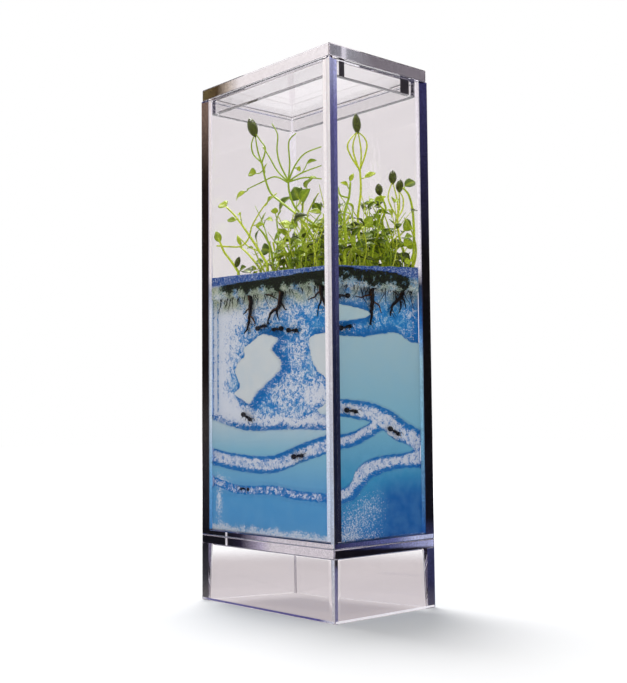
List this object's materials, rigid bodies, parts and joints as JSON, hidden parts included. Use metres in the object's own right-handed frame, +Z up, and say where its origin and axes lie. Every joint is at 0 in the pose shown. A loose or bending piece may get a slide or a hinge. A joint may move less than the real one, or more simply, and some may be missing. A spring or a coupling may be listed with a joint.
{
  "type": "gel ant habitat",
  "caption": "Tall clear rectangular ant habitat on a hollow stand with a lift-off lid, filled with dug-out blue gel, a seed mat, sprouts, roots and ants.",
  "frame": {"origin": "centre of the bounding box's bottom face, which is the centre of the stand's foot", "axes": "+Z up, -Y out of the wide front pane, +X towards the narrow pane on the right"},
  "size_m": [0.096, 0.064, 0.254],
  "materials": {
    "clear_acrylic": "clear polished acrylic",
    "blue_gel": "moist translucent nutrient gel, granular where it has been dug",
    "seed_mat": "damp dark mat of seed husks and fine roots",
    "root": "damp dark brown root",
    "ant": "dark satin ant shell",
    "sprout": "fresh green stems and leaves"
  },
  "bodies": {
    "stand": {"stand": "clear_acrylic"},
    "tank": {"tank_shell": "clear_acrylic", "gel_block": "blue_gel", "root_mat": "seed_mat", "taproot_1": "root", "taproot_2": "root", "taproot_3": "root", "taproot_4": "root", "taproot_5": "root", "ant_1": "ant", "ant_2": "ant", "ant_3": "ant", "ant_4": "ant", "ant_5": "ant", "ant_6": "ant", "ant_7": "ant", "ant_8": "ant", "ant_9": "ant", "ant_10": "ant", "lantern_sprout_1": "sprout", "spider_sprout": "sprout", "runner_sprout": "sprout", "left_sprout": "sprout", "dark_leaf_sprout": "sprout", "broadleaf_sprout": "sprout", "low_sprout_1": "sprout", "low_sprout_2": "sprout", "low_sprout_3": "sprout", "lantern_sprout_2": "sprout", "corner_sprout": "sprout", "round_head_sprout": "sprout", "twin_head_sprout": "sprout", "tall_leaf_sprout": "sprout"},
    "lid": {"lid": "clear_acrylic"}
  },
  "joints": [
    {"name": "tank_lift", "type": "slide", "parent": "stand", "child": "tank", "axis": [0, 0, 1], "range_m": [0, 0.04]},
    {"name": "lid_lift", "type": "slide", "parent": "tank", "child": "lid", "axis": [0, 0, 1], "range_m": [0, 0.06]}
  ]
}
